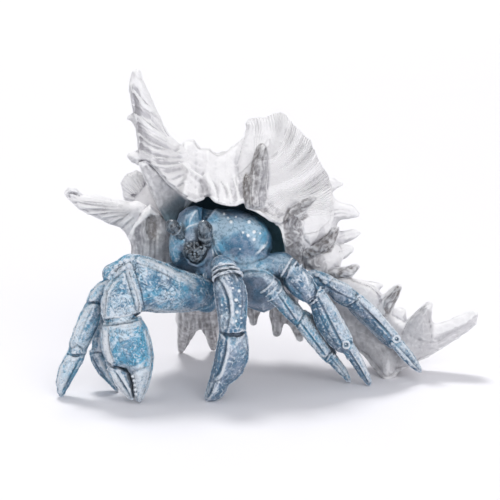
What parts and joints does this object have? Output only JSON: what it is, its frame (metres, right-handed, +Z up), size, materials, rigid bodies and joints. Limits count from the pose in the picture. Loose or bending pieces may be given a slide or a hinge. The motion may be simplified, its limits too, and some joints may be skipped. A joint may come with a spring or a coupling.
{
  "type": "crab figurine",
  "caption": "Hermit crab ornament in a white spiny sea shell, blue painted cast resin, standing on its leg tips, claw and shell foot as a shelf or table decoration.",
  "frame": {"origin": "middle of the bounding box's underside, on the surface that the ornament stands on", "axes": "+X to the right as the crab is seen from its face, along the shell's canal; +Y from the crab's face to the back of the shell; +Z up"},
  "size_m": [0.2603, 0.1509, 0.1935],
  "materials": {
    "shell_paint": "matt white paint on cast resin, with grey shading in the flutes",
    "crab_paint": "satin blue paint on cast resin, pale dry-brushed highlights and dark lines in the creases",
    "eye_paint": "dark grey-brown paint with pale highlights",
    "dowel_steel": "plain steel"
  },
  "bodies": {
    "root": {"shell": "shell_paint", "tall_frond": "shell_paint", "side_frond": "shell_paint", "rear_frond": "shell_paint", "crab_body": "crab_paint", "left_eyestalk": "eye_paint", "right_eyestalk": "eye_paint", "mouthparts": "eye_paint", "claw_arm": "crab_paint", "claw_hand": "crab_paint", "claw_finger": "crab_paint", "front_claw": "crab_paint", "left_outer_leg": "crab_paint", "left_inner_leg": "crab_paint", "right_front_leg": "crab_paint", "right_middle_leg": "crab_paint", "right_rear_leg": "crab_paint", "steel_dowels": "dowel_steel"}
  },
  "joints": []
}
